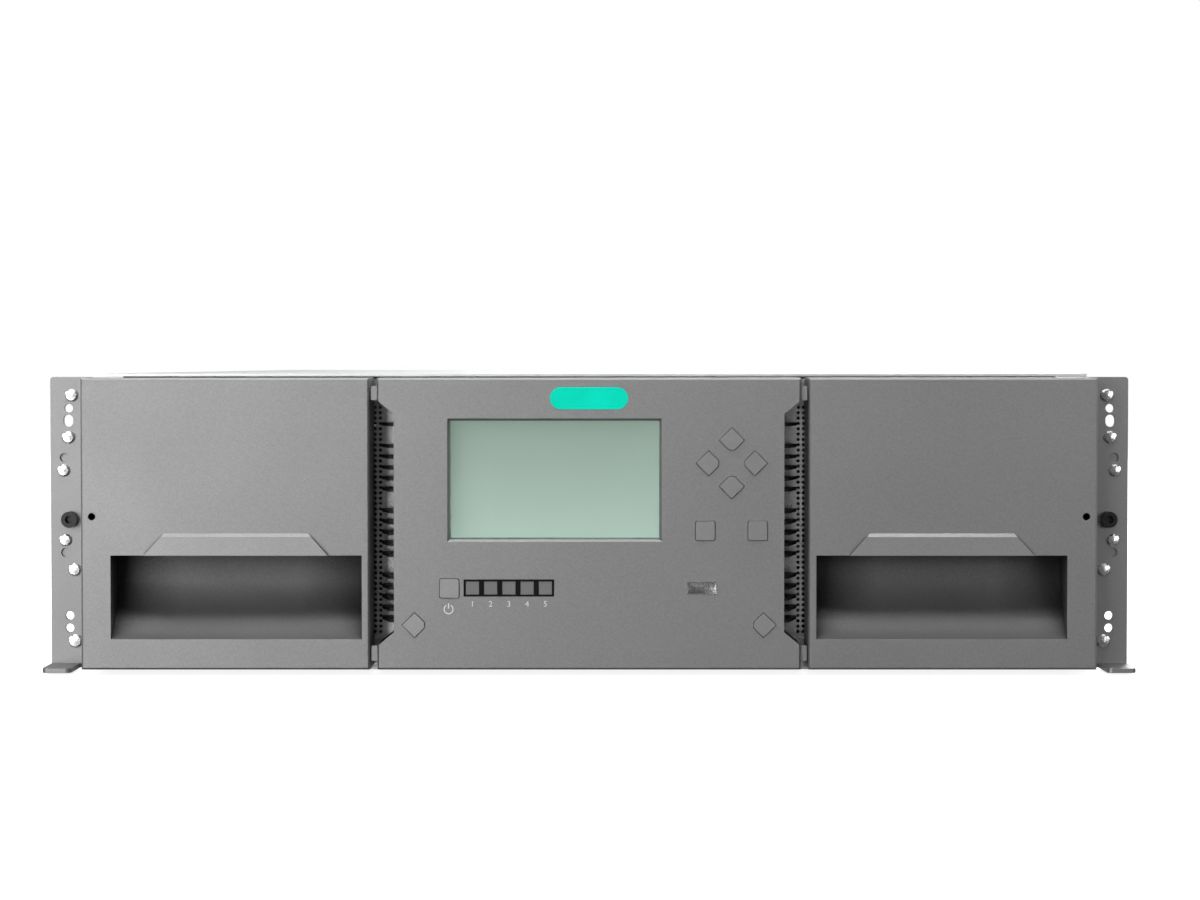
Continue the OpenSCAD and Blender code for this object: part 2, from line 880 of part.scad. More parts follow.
// Right-hand magazine bezel: a moulded shell, open behind, with the scoop's cup inside it
module magazine_bezel() {
    w = bezel_wall;
    color(c_bezel)
        difference() {
            union() {
                difference() {
                    bezel_blank(mag_in, half_w, bezel_back);
                    block([mag_in + w, front_y + w, bezel_z + w], [half_w - w, bezel_back + cut, bezel_top - w]);
                }
                intersection() {
                    along_x(scoop_x0 - w, scoop_x0 + scoop_w + w)
                        scoop_profile(w);
                    block([mag_in + w / 2, front_y + w / 2, bezel_z + w / 2],
                        [half_w - w / 2, bezel_back, bezel_top - w / 2]);
                }
                grip();
            }
            along_x(scoop_x0, scoop_x0 + scoop_w)
                scoop_profile(0);
            bar_y(release_x, release_z, release_d / 2, front_y - cut, front_y + w + cut);
        }
}

module right_magazine_bezel() {
    magazine_bezel();
}

module left_magazine_bezel() {
    mirror([1, 0, 0])
        magazine_bezel();
}

level_pitch = (roof_z - level_z - tray_room) / levels;
tray_y1 = tray_lead + columns * column_pitch + tray_t;
tray_z0 = level_z - tray_t;
tray_z1 = level_z + levels * level_pitch + 0.2;
tray_top = tray_z1 + tray_t;
keel_t = 3;
keels = [aisle + 14, tray_x - 14];
// Catch that the latch holds, behind the tray
catch_x0 = tray_x - 47;
catch_x1 = catch_x0 + 10;
catch_y0 = tray_y1 + 7;
catch_y1 = catch_y0 + 3;
catch_h = 7;

module magazine_tray() {
    color(c_tray) {
        block([aisle, bezel_back + tray_t, tray_z0], [tray_x, tray_y1, level_z]);
        block([tray_x - tray_t, bezel_back + tray_t, level_z], [tray_x, tray_y1, tray_top]);
        difference() {
            block([mag_in, bezel_back, bezel_z], [half_w - 0.5, bezel_back + tray_t, bezel_top]);
            bar_y(release_x, release_z, release_d / 2, bezel_back - cut, 0);
        }
        block([aisle + 40, bezel_back + tray_t, tray_z1], [tray_x - tray_t, tray_y1, tray_top]);
        for (x = keels)
            block([x - keel_t / 2, rail_y, floor_t + 2.5], [x + keel_t / 2, tray_y1, tray_z0]);
        block([catch_x0, tray_y1, tray_z0], [catch_x1, catch_y1, level_z]);
        block([catch_x0, catch_y0, level_z], [catch_x1, catch_y1, level_z + catch_h]);
    }
}

module right_magazine_tray() {
    magazine_tray();
}

module left_magazine_tray() {
    mirror([1, 0, 0])
        magazine_tray();
}

// Upright plates between the columns, with a ledge for each level
module magazine_dividers() {
    color([0.55, 0.56, 0.58])
        for (c = [0 : columns]) {
            y = tray_lead + c * column_pitch;
            block([aisle + 2, y, level_z], [tray_x - tray_t, y + tray_t, tray_z1]);
            for (l = [1 : levels - 1]) {
                z = level_z + l * level_pitch;
                if (c > 0)
                    block([aisle + 2, y - ledge_w, z - tray_t], [tray_x - tray_t, y, z]);
                if (c < columns)
                    block([aisle + 2, y + tray_t, z - tray_t], [tray_x - tray_t, y + tray_t + ledge_w, z]);
            }
        }
}

module right_magazine_dividers() {
    magazine_dividers();
}

module left_magazine_dividers() {
    mirror([1, 0, 0])
        magazine_dividers();
}

// Guide rails on the pan, either side of each keel
module magazine_rails() {
    side_gap = 0.4;
    rail_w = 4.6;
    color(c_steel)
        both_sides()
            for (x = keels, s = [-1, 1])
                translate([x + s * (keel_t / 2 + side_gap + rail_w / 2), 0, 0])
                    block([-rail_w / 2, rail_y, floor_t], [rail_w / 2, tray_y1 - 4, tray_z0 - 0.4]);
}

// ---------------------------------------------------------------- latches

latch_x = catch_x1 + 6;
latch_y = catch_y1 + 20;
latch_z0 = level_z + 1;
latch_z1 = latch_z0 + 4;
tip_y1 = catch_y0 - 1.5;

// Right-hand lever, turned away from the catch at rest
module latch() {
    color(c_steel)
        translate([latch_x, latch_y, 0])
            rotate(latch_turn)
                translate([-latch_x, -latch_y, 0])
                    difference() {
                        union() {
                            post(latch_x, latch_y, pivot_r + 3, latch_z0, latch_z1);
                            block([catch_x1 + 2, tip_y1 - 3.5, latch_z0], [latch_x + 2, latch_y, latch_z1]);
                            block([catch_x1 - 4, tip_y1 - 3.5, latch_z0], [catch_x1 + 2, tip_y1, latch_z1]);
                        }
                        post(latch_x, latch_y, pivot_r + run_gap, latch_z0 - cut, latch_z1 + cut);
                    }
}

module right_latch() {
    latch();
}

module left_latch() {
    mirror([1, 0, 0])
        latch();
}

// Pivot post, base plate and solenoid for each latch
module latch_solenoids() {
    coil_y = latch_y + 12;
    base_t = 1.5;
    coil_z = latch_z0 + 2;
    color(c_steel)
        both_sides() {
            block([latch_x - 16, latch_y - 8, floor_t], [latch_x + 16, coil_y + 28, floor_t + base_t]);
            post(latch_x, latch_y, pivot_r, floor_t + base_t, latch_z1 + 3);
            post(latch_x, latch_y, pivot_r + 2, floor_t + base_t, latch_z0 - 0.1);
            block([latch_x - 12, coil_y, floor_t + base_t], [latch_x + 12, coil_y + 1.5, coil_z + 11]);
            block([latch_x - 12, coil_y + 24, floor_t + base_t], [latch_x + 12, coil_y + 25.5, coil_z + 11]);
            bar_y(latch_x, coil_z, 9, coil_y + 1.5, coil_y + 24);
            bar_y(latch_x, coil_z, 2.5, coil_y - 4, coil_y);
        }
}

// ---------------------------------------------------------------- robot

pitch_r = tooth_m * pinion_teeth / 2;
tooth_pitch = PI * tooth_m;
// Pressure angle, and heights of the stub teeth
press = 25;
rack_add = 0.45 * tooth_m;
rack_ded = 1.06 * tooth_m;
pinion_add = 0.8 * tooth_m;
pinion_ded = 0.625 * tooth_m;
backlash = 0.12;
tooth_s = tooth_pitch / 2 - backlash;
post_w = 8;
post_d = 5;
pinion_w = 6;
// Place of the front and the rear shaft
shaft_y = [22.5, 22.5 + tray_lead + columns * column_pitch - 5.5];
lift_travel = (levels - 1) * level_pitch;
robot_z = floor_t + 1.7;
rod_z = robot_z + 3.8;
post_x = aisle - post_in;
rod_x = post_x - 1;
cheek_x0 = post_x + post_w / 2 + 2;
cheek_x1 = cheek_x0 + 4;
cross_h = 5.8;
cross_y = [shaft_y[0] + 8.5, shaft_y[1] - 19];
cross_d = 5;
// Middle of the first column, where the picker rests
pick_y = tray_lead + tray_t / 2 + column_pitch / 2;

function inv(a) = tan(a) - a * PI / 180;
function base_r() = pitch_r * cos(press);
// Half angle of a pinion tooth at radius r, in degrees
function half_angle(r) = (tooth_s / (2 * pitch_r) + inv(press) - inv(acos(min(1, base_r() / r)))) * 180 / PI;
function polar(r, a) = [r * cos(a), r * sin(a)];
function steps(n) = [for (k = [0 : n]) k / n];

// Involute pinion: one tooth is centred half a pitch from the +X axis
module pinion_outline() {
    tip = pitch_r + pinion_add;
    root = pitch_r - pinion_ded;
    flank = [for (t = steps(4)) base_r() + (tip - base_r()) * t];
    polygon([for (i = [0 : pinion_teeth - 1])
        let (a = (i + 0.5) * 360 / pinion_teeth)
        each concat(
            [polar(root, a - half_angle(base_r()))],
            [for (r = flank) polar(r, a - half_angle(r))],
            [for (k = [len(flank) - 1 : -1 : 0]) polar(flank[k], a + half_angle(flank[k]))],
            [polar(root, a + half_angle(base_r()))]
        )]);
}

// Toothed post: teeth face +Y, one tooth is level with the shaft at rest
module lift_rack(y) {
    root_y = y - pitch_r - rack_ded;
    tip_y = y - pitch_r + rack_add;
    half_root = tooth_s / 2 + rack_ded * tan(press);
    half_tip = tooth_s / 2 - rack_add * tan(press);
    first = -2;
    last = ceil(lift_travel / tooth_pitch) + 2;
    both_sides()
        along_x(post_x - post_w / 2, post_x + post_w / 2)
            polygon(concat(
                [[root_y - post_d, roof_z], [root_y - post_d, floor_t], [root_y, floor_t]],
                [for (i = [first : last], p = [[root_y, -half_root], [tip_y, -half_tip],
                    [tip_y, half_tip], [root_y, half_root]])
                    [p[0], shaft_z + i * tooth_pitch + p[1]]],
                [[root_y, roof_z]]
            ));
}

module lift_racks() {
    color(c_steel)
        for (y = shaft_y)
            lift_rack(y);
}

// Frame that rides up and down the four posts
module lift_platform() {
    z1 = robot_z + 7.6;
    color([0.35, 0.36, 0.38])
        difference() {
            union() {
                both_sides() {
                    block([cheek_x0, shaft_y[0] - 12, robot_z], [cheek_x1, shaft_y[1] + 7, robot_z + cross_h]);
                    for (y = shaft_y)
                        block([cheek_x0, y - 5, robot_z], [cheek_x1, y + 5, z1]);
                }
                for (y = cross_y)
                    block([-cheek_x0, y, robot_z], [cheek_x0, y + cross_d, robot_z + cross_h]);
            }
            for (y = shaft_y)
                bar_x(y, shaft_z, shaft_r + run_gap, -cheek_x1 - cut, cheek_x1 + cut);
            for (x = [-rod_x, rod_x])
                bar_y(x, rod_z, rod_r, cross_y[0] + 2, cross_y[1] + cross_d - 2);
        }
}

module guide_rods() {
    color(c_steel)
        for (x = [-rod_x, rod_x])
            bar_y(x, rod_z, rod_r, cross_y[0] + 2, cross_y[1] + cross_d - 2);
}

// Motor and gearbox that turn the front shaft
module lift_motor() {
    y0 = shaft_y[0];
    top = shaft_z + 21;
    color(c_dark)
        difference() {
            union() {
                block([0, y0 - 17, robot_z], [14, cross_y[0], robot_z + cross_h]);
                block([0, y0 - 17, robot_z + cross_h], [14, y0 + 3.3, top]);
                bar_x(y0 - 8.5, shaft_z + 12, 8.5, -36, 0);
            }
            bar_x(y0, shaft_z, shaft_r + 0.5, -cut, 14 + cut);
        }
}

// Cross shaft with a pinion at each end
module lift_shaft(y) {
    color(c_steel) {
        bar_x(y, shaft_z, shaft_r, -cheek_x1 - 1, cheek_x1 + 1);
        for (x = [-post_x, post_x])
            translate([x - pinion_w / 2, y, shaft_z])
                rotate([90, 0, 90])
                    linear_extrude(pinion_w)
                        pinion_outline_back();
    }
}

// Turned so that a gap, not a tooth, faces the post
module pinion_outline_back() {
    rotate(180)
        pinion_outline();
}

module front_lift_shaft() {
    lift_shaft(shaft_y[0]);
}

module rear_lift_shaft() {
    lift_shaft(shaft_y[1]);
}

bearing_x0 = rod_x - 5;
bearing_x1 = rod_x + 5;
plate_t = 1.4;

// Carriage on the two rods
module picker_carriage() {
    color([0.30, 0.31, 0.33])
        difference() {
            union() {
                block([-bearing_x0, pick_y - 48, robot_z], [bearing_x0, pick_y + 48, robot_z + plate_t]);
                both_sides()
                    block([bearing_x0, pick_y - 22, robot_z], [bearing_x1, pick_y + 22, rod_z + rod_r + 1.2]);
            }
            post(0, pick_y, turn_r + run_gap, robot_z - cut, robot_z + plate_t + cut);
            for (x = [-rod_x, rod_x])
                bar_y(x, rod_z, rod_r + run_gap, pick_y - 22 - cut, pick_y + 22 + cut);
        }
}

picker_z = robot_z + 6.8;
picker_t = 1.2;
picker_in = picker_w - 1.2;

// Turntable with the tray that takes one cartridge
module picker_turntable() {
    y0 = pick_y - picker_l / 2;
    y1 = pick_y + picker_l / 2;
    color([0.45, 0.46, 0.48]) {
        post(0, pick_y, turn_r, robot_z + 0.2, picker_z);
        post(0, pick_y, turn_r + 30, robot_z + plate_t + 0.2, robot_z + plate_t + 2);
        post(0, pick_y, turn_r + 14, robot_z + plate_t + 2, picker_z);
        block([-picker_w, y0, picker_z], [picker_w, y1, picker_z + picker_t]);
        both_sides()
            block([picker_in, y0, picker_z + picker_t], [picker_w, y1, picker_z + 16]);
    }
}

// Gripper: a bar with a finger down each side of the cartridge
module picker_gripper() {
    gap = 0.4;
    x1 = picker_in - gap;
    y0 = pick_y - picker_l / 2 + 1;
    z0 = picker_z + picker_t + gap;
    color(c_steel) {
        block([-x1, y0, z0], [x1, y0 + 6, z0 + 10]);
        both_sides() {
            block([x1 - 2.4, y0 + 6, z0 + 1.5], [x1, y0 + picker_l - 4, z0 + 7]);
            block([x1 - 4, y0 + picker_l - 8, z0 + 1.5], [x1 - 2.4, y0 + picker_l - 4, z0 + 7]);
        }
    }
}

// ---------------------------------------------------------------- drives

sleds = 3;
sled_z0 = floor_t + 0.5;
sled_pitch = (roof_z - sled_z0 - 0.4) / sleds;
drive_h = sled_pitch - sled_t - drive_gap;
sled_y0 = tray_y1 + rear_gap;
sled_x = drive_w / 2 + 1 + sled_t;
runner_w = 2.5;
runner_h = 3;
runner_z = 20;
face_t = 2;
cage_x = sled_x + 5.5;
cage_gap = 0.4;
mouth_w = 106;
mouth_h = 24;
mouth_d = 60;

function sled_z(n) = sled_z0 + n * sled_pitch;

// Pull handle on the rear of a module
module pull(x0, x1, z, out) {
    grip_r = 2.5;
    for (x = [x0 + grip_r, x1 - grip_r])
        bar_y(x, z, grip_r, body_d + face_t, body_d + face_t + out);
    bar_x(body_d + face_t + out, z, grip_r, x0, x1);
}

// Sheet tray that carries one drive, with runners, a rear face and a pull handle
module drive_sled(n) {
    z = sled_z(n);
    top = z + sled_t + drive_h;
    wall_h = 34;
    color(c_sheet) {
        block([-sled_x, sled_y0, z], [sled_x, body_d, z + sled_t]);
        both_sides() {
            block([sled_x - sled_t, sled_y0, z + sled_t], [sled_x, body_d, z + wall_h]);
            block([sled_x, sled_y0 + 12, z + runner_z], [sled_x + runner_w, body_d - 20, z + runner_z + runner_h]);
        }
        along_y(body_d, body_d + face_t)
            difference() {
                area([-cage_x - 3, z], [cage_x + 3, top]);
                for (i = [0 : 10])
                    area([-50 + i * 10 - 3.5, z + 8], [-50 + i * 10 + 3.5, z + 11]);
                area([-64, z + 26], [-48, z + 34]);
                area([-44, z + 26], [-28, z + 34]);
            }
        pull(10, 66, z + 30, 14);
    }
}

module drive_sled_1() {
    drive_sled(0);
}

module drive_sled_2() {
    drive_sled(1);
}

module drive_sled_3() {
    drive_sled(2);
}

// Half-height drive with its cartridge mouth towards the robot
module tape_drive(n) {
    z = sled_z(n) + sled_t;
    y0 = sled_y0 + 1;
    mouth_z = z + 8;
    color([0.20, 0.21, 0.22])
        difference() {
            block([-drive_w / 2, y0, z], [drive_w / 2, y0 + drive_l, z + drive_h]);
            block([-mouth_w / 2, y0 - cut, mouth_z], [mouth_w / 2, y0 + mouth_d, mouth_z + mouth_h]);
            translate([0, 0, mouth_z + mouth_h / 2])
                along_plan(-mouth_w / 2, mouth_w / 2, y0, mouth_h);
        }
}

// Wide lead-in around a drive's mouth
module along_plan(x0, x1, y0, h) {
    lead = 2.5;
    intersection() {
        translate([0, 0, -h / 2 - lead])
            linear_extrude(h + 2 * lead)
                polygon([[x0 - 2 * lead, y0 - lead], [x0, y0 + lead], [x1, y0 + lead], [x1 + 2 * lead, y0 - lead]]);
        along_x(x0 - lead, x1 + lead)
            polygon([[y0 - lead, -h / 2 - 2 * lead], [y0 + lead, -h / 2], [y0 + lead, h / 2],
                [y0 - lead, h / 2 + 2 * lead]]);
    }
}

module tape_drive_1() {
    tape_drive(0);
}

module tape_drive_2() {
    tape_drive(1);
}

module tape_drive_3() {
    tape_drive(2);
}

// ---------------------------------------------------------------- power supplies and controller

psu_x0 = module_side - half_w;
psu_x1 = psu_x0 + psu_w;
psu_h = sled_pitch - psu_gap;
psu_z0 = floor_t + 5;
fan_x = psu_x1 - fan_r - 3;
fan_y = body_d - 12;
inlet_x = psu_x0 + 18;
inlet_w = 27;
inlet_h = 20;
inlet_d = 16;
ctrl_x1 = half_w - module_side;
ctrl_x0 = ctrl_x1 - ctrl_w;
ctrl_z = floor_t + 5;

function psu_z(n) = psu_z0 + n * sled_pitch;

// Power supply: mains inlet on the left, fan on the right, with a guard of four bars
module power_supply(n) {
    z = psu_z(n);
    mid = z + psu_h / 2;
    color(c_sheet)
        difference() {
            union() {
                block([psu_x0, body_d - psu_l, z], [psu_x1, body_d, z + psu_h]);
                block([psu_x0, body_d, z], [psu_x1, body_d + face_t, z + psu_h]);
            }
            bar_y(fan_x, mid, fan_r, fan_y - 6, body_d + face_t + cut);
            block([inlet_x - inlet_w / 2, body_d + face_t - inlet_d, mid - inlet_h / 2],
                [inlet_x + inlet_w / 2, body_d + face_t + cut, mid + inlet_h / 2]);
        }
    color(c_dark) {
        for (x = [-4, 0, 4])
            block([inlet_x + x * 1.75 - 1, body_d + face_t - inlet_d, mid - 3 + (x == 0 ? 3 : 0)],
                [inlet_x + x * 1.75 + 1, body_d + face_t - 4, mid + 1 + (x == 0 ? 3 : 0)]);
    }
    color(c_steel)
        for (a = [45, 135])
            translate([fan_x, body_d + face_t - 1.2, mid])
                rotate([0, a, 0])
                    translate([-fan_r, 0, -0.8])
                        cube([2 * fan_r, 1.2, 1.6]);
}

module power_supply_1() {
    power_supply(0);
}

module power_supply_2() {
    power_supply(1);
}

// Axial fan rotor: hub, seven blades
module fan_rotor(n) {
    hub_r = 7;
    tip_r = fan_r - 0.8;
    color(c_dark)
        translate([fan_x, fan_y, psu_z(n) + psu_h / 2])
            rotate([-90, 0, 0]) {
                translate([0, 0, -3])
                    cylinder(r = hub_r, h = 9);
                for (a = [0 : 6])
                    rotate(a * 360 / 7)
                        translate([hub_r - 0.6, 0, 1])
                            rotate([32, 0, 0])
                                translate([0, -4, -0.6])
                                    cube([tip_r - hub_r - 0.4, 8, 1.2]);
            }
}

module fan_rotor_1() {
    fan_rotor(0);
}

module fan_rotor_2() {
    fan_rotor(1);
}

// Controller: two network jacks, two bus sockets and a pull handle
jack_w = 12;
jack_h = 8.5;
jack_d = 13;
function jack_x(i) = ctrl_x0 + 12 + i * 18;

module controller_module() {
    color(c_sheet)
        difference() {
            union() {
                block([ctrl_x0, body_d - ctrl_l, ctrl_z], [ctrl_x1, body_d, ctrl_z + ctrl_h]);
                block([ctrl_x0, body_d, ctrl_z], [ctrl_x1, body_d + face_t, ctrl_z + ctrl_h]);
            }
            for (i = [0, 1])
                block([jack_x(i) - jack_w / 2, body_d + face_t - jack_d, ctrl_z + 8],
                    [jack_x(i) + jack_w / 2, body_d + face_t + cut, ctrl_z + 8 + jack_h]);
            for (i = [0, 1])
                block([ctrl_x0 + 46 + i * 18, body_d + face_t - 8, ctrl_z + 9],
                    [ctrl_x0 + 59 + i * 18, body_d + face_t + cut, ctrl_z + 14.5]);
        }
    color(c_steel)
        pull(ctrl_x0 + 16, ctrl_x1 - 16, ctrl_z + ctrl_h - 10, 14);
}

// Sheet cage behind the robot: drive guides, and shelves for the other modules
module rear_cage() {
    y0 = sled_y0 + 4;
    y1 = body_d - sheet;
    strip_t = 1.5;
    strip_x = sled_x + 1;
    color(c_steel) {
        both_sides() {
            block([cage_x, y0, floor_t], [cage_x + sheet, y1, roof_z]);
            for (n = [0 : 2], z = [sled_z(n) + runner_z - cage_gap - strip_t,
                    sled_z(n) + runner_z + runner_h + cage_gap])
                block([strip_x, y0, z], [cage_x, y1, z + strip_t]);
        }
        psu_cage();
        ctrl_cage();
    }
}

// Upright sides with shelves under each power supply
module psu_cage() {
    y0 = body_d - psu_l - 6;
    y1 = body_d - sheet;
    x0 = psu_x0 - bay_gap;
    x1 = psu_x1 + bay_gap;
    top = psu_z(1) + psu_h + 4;
    block([x0 - sheet, y0, floor_t], [x0, y1, top]);
    block([x1, y0, floor_t], [x1 + sheet, y1, top]);
    for (n = [0, 1])
        block([x0, y0, psu_z(n) - cage_gap - sheet], [x1, y1, psu_z(n) - cage_gap]);
}

module ctrl_cage() {
    y0 = body_d - ctrl_l - 6;
    y1 = body_d - sheet;
    x0 = ctrl_x0 - bay_gap;
    x1 = ctrl_x1 + bay_gap;
    top = ctrl_z + ctrl_h + 3;
    block([x0 - sheet, y0, floor_t], [x0, y1, top]);
    block([x1, y0, floor_t], [x1 + sheet, y1, top]);
    block([x0, y0, ctrl_z - cage_gap - sheet], [x1, y1, ctrl_z - cage_gap]);
}

bottom_pan();
top_cover();
left_side_wall();
right_side_wall();
rear_panel();
front_frame();
left_ear();
right_ear();
ear_studs();
rack_screws();
cover_screws();
panel_bezel();
vent_screens();
display_lens();
display_module();
badge_insert();
led_strip();
led_lenses();
usb_port();
panel_board();
button_up();
button_down();
button_left();
button_right();
button_back();
button_enter();
button_power();
button_release_left();
button_release_right();
left_magazine_bezel();
right_magazine_bezel();
left_magazine_tray();
right_magazine_tray();
left_magazine_dividers();
right_magazine_dividers();
magazine_rails();
left_latch();
right_latch();
latch_solenoids();
lift_racks();
lift_platform();
guide_rods();
lift_motor();
front_lift_shaft();
rear_lift_shaft();
picker_carriage();
picker_turntable();
picker_gripper();
rear_cage();
drive_sled_1();
drive_sled_2();
drive_sled_3();
tape_drive_1();
tape_drive_2();
tape_drive_3();
power_supply_1();
power_supply_2();
fan_rotor_1();
fan_rotor_2();
controller_module();
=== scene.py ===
import json
import math

import bmesh
import bpy
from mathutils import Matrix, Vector


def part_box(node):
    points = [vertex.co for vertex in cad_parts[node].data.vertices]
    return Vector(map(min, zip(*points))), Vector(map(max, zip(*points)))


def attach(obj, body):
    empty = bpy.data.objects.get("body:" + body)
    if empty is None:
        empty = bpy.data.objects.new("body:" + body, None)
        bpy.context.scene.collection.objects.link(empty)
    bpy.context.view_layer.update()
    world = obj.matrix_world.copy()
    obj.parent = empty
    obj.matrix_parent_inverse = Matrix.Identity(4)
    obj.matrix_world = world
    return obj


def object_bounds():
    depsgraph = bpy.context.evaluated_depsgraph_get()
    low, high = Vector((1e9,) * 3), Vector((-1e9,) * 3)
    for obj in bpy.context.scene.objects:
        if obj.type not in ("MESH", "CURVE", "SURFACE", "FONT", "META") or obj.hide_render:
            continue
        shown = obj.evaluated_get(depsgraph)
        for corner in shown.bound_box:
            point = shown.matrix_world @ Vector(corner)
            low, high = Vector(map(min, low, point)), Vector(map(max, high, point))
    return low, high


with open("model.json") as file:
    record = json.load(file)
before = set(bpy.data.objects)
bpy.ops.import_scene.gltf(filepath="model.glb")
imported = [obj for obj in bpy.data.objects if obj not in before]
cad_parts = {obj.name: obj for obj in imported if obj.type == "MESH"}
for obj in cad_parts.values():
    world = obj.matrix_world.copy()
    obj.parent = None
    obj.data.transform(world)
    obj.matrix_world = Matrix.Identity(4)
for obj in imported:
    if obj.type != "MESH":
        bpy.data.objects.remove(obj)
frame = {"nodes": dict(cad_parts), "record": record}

CAD_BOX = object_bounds()
scene = bpy.context.scene


# ---------------------------------------------------------------- camera

CAMERA_PLACE = (0.0048, -1.308, 0.137)
CAMERA_DOWN = 1.69  # degrees below the horizon
LENS = 87.5  # millimetres on a 36 mm sensor

camera = bpy.data.objects.new("camera", bpy.data.cameras.new("camera"))
camera.data.lens = LENS
camera.data.sensor_width = 36
camera.data.clip_start = 0.05
camera.data.clip_end = 60
camera.location = CAMERA_PLACE
camera.rotation_euler = (math.radians(90 - CAMERA_DOWN), 0, 0)
scene.collection.objects.link(camera)
scene.camera = camera
scene.view_settings.view_transform = "Standard"


# ---------------------------------------------------------------- materials

class Paint:
    """A material, built node by node on its Principled shader."""

    def __init__(self, name):
        self.material = bpy.data.materials.new(name)
        self.material.use_nodes = True
        self.tree = self.material.node_tree
        self.shader = self.tree.nodes["Principled BSDF"]
        self.place = self.add("ShaderNodeTexCoord").outputs["Object"]

    def add(self, kind, inputs=None, **settings):
        node = self.tree.nodes.new(kind)
        for key, value in settings.items():
            setattr(node, key, value)
        for key, value in (inputs or {}).items():
            self.put(node.inputs[key], value)
        return node

    def put(self, socket, value):
        if isinstance(value, bpy.types.NodeSocket):
            self.tree.links.new(value, socket)
        else:
            socket.default_value = value

    def set(self, **values):
        for key, value in values.items():
            self.put(self.shader.inputs[key.replace("_", " ")], value)

    def stretched(self, x, y, z):
        return self.add("ShaderNodeMapping", {"Vector": self.place, "Scale": (x, y, z)}).outputs[0]

    def noise(self, size, detail=2.0, rough=0.5, place=None):
        """Noise with features of about size metres."""
        return self.add("ShaderNodeTexNoise", {"Vector": place or self.place, "Scale": 1 / size,
                                               "Detail": detail, "Roughness": rough}).outputs["Fac"]

    def cells(self, size):
        """Cells of about size metres."""
        return self.add("ShaderNodeTexVoronoi", {"Vector": self.place, "Scale": 1 / size})

    def span(self, value, low, high, to_low, to_high):
        return self.add("ShaderNodeMapRange", {"Value": value, "From Min": low, "From Max": high,
                                               "To Min": to_low, "To Max": to_high}).outputs[0]

    def sum(self, a, b, how="ADD"):
        return self.add("ShaderNodeMath", {0: a, 1: b}, operation=how).outputs[0]

    def mix(self, share, a, b):
        node = self.add("ShaderNodeMix", {0: share, 6: a, 7: b}, data_type="RGBA")
        return node.outputs[2]

    def shade(self, colour, factor):
        """The colour times a factor."""
        return self.add("ShaderNodeVectorMath", {0: colour[:3], 3: factor}, operation="SCALE").outputs[0]

    def bump(self, height, depth, normal=None):
        inputs = {"Height": height, "Distance": depth, "Strength": 1.0}
        if normal is not None:
            inputs["Normal"] = normal
        return self.add("ShaderNodeBump", inputs).outputs[0]

    def soft_edges(self, radius):
        return self.add("ShaderNodeBevel", {"Radius": radius}, samples=4).outputs[0]


def rgb(*c):
    return (*c, 1.0)


# How far the vents are cut into the sides of the control panel, and so how far the black painted shade in them
# reaches
VENT_DEPTH = 0.0074


def coated(name, colour, metal, rough, speckle=0.12, cloud=0.05, grain=0.00002, grain_size=0.0004,
           edge=0.0003, wear=0.0):
    """Paint, powder coat or moulded plastic: speckle, slow clouding, a fine grain and softened edges."""
    p = Paint(name)
    fine = p.noise(grain_size, 2, 0.6)
    flakes = p.noise(grain_size * 1.7, 1, 0.4)
    slow = p.noise(0.06, 3, 0.5)
    factor = p.sum(p.span(flakes, 0.3, 0.7, 1 - speckle, 1 + speckle), p.span(slow, 0.3, 0.7, -cloud, cloud))
    tone = p.shade(rgb(*colour), factor)
    if wear:
        scuffs = p.span(p.noise(0.004, 6, 0.7, p.stretched(1, 1, 0.12)), 0.66, 0.74, 0, wear)
        tone = p.mix(scuffs, tone, rgb(*[min(1, c * 1.9 + 0.03) for c in colour]))
    p.set(Base_Color=tone, Metallic=metal,
          Roughness=p.sum(p.span(fine, 0.3, 0.7, rough - 0.05, rough + 0.05),
                          p.span(slow, 0.3, 0.7, -0.03, 0.03)),
          Normal=p.bump(fine, grain, p.soft_edges(edge)))
    return p


def bezel_coat_and_painted_shade(name, colour):
    """Bezel paint with painted shade: darker deep in the scoops and in its other recesses, and black within
    the vents, as far as the louvres reach.
    """
    p = coated(name, colour, 0.90, 0.50, 0.07, 0.01, 0.00002, 0.00035)
    low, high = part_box("panel_bezel")
    vent_low, vent_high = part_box("vent_screens")
    position = p.add("ShaderNodeSeparateXYZ", {0: p.place})
    across = p.sum(position.outputs["X"], 0.0, "ABSOLUTE")
    shares = [p.sum(across, high.x - VENT_DEPTH, "GREATER_THAN"), p.sum(across, high.x + 0.0002, "LESS_THAN"),
              p.sum(position.outputs["Y"], low.y + 0.0014, "GREATER_THAN"),
              p.sum(position.outputs["Z"], vent_low.z, "GREATER_THAN"),
              p.sum(position.outputs["Z"], vent_high.z, "LESS_THAN")]
    # This mask marks the vents' hollow behind the panel's front, where black painted shade goes.
    vent_shade = shares[0]
    for share in shares[1:]:
        vent_shade = p.sum(vent_shade, share, "MULTIPLY")
    tone = p.shader.inputs["Base Color"].links[0].from_socket
    # Painted shade: ambient occlusion darkens the colour in the bezel's own recesses, most of all deep in the
    # scoops.
    painted_occlusion_shade = p.add("ShaderNodeAmbientOcclusion", {"Distance": 0.03}, samples=8,
                     only_local=True).outputs["AO"]
    tone = p.add("ShaderNodeVectorMath", {0: tone, 3: p.span(painted_occlusion_shade, 0.34, 0.84, 0.10, 1.0)},
                 operation="SCALE").outputs[0]
    # Painted shade: near black within the vents.
    p.set(Base_Color=p.mix(vent_shade, tone, rgb(0.035, 0.036, 0.038)))
    return p


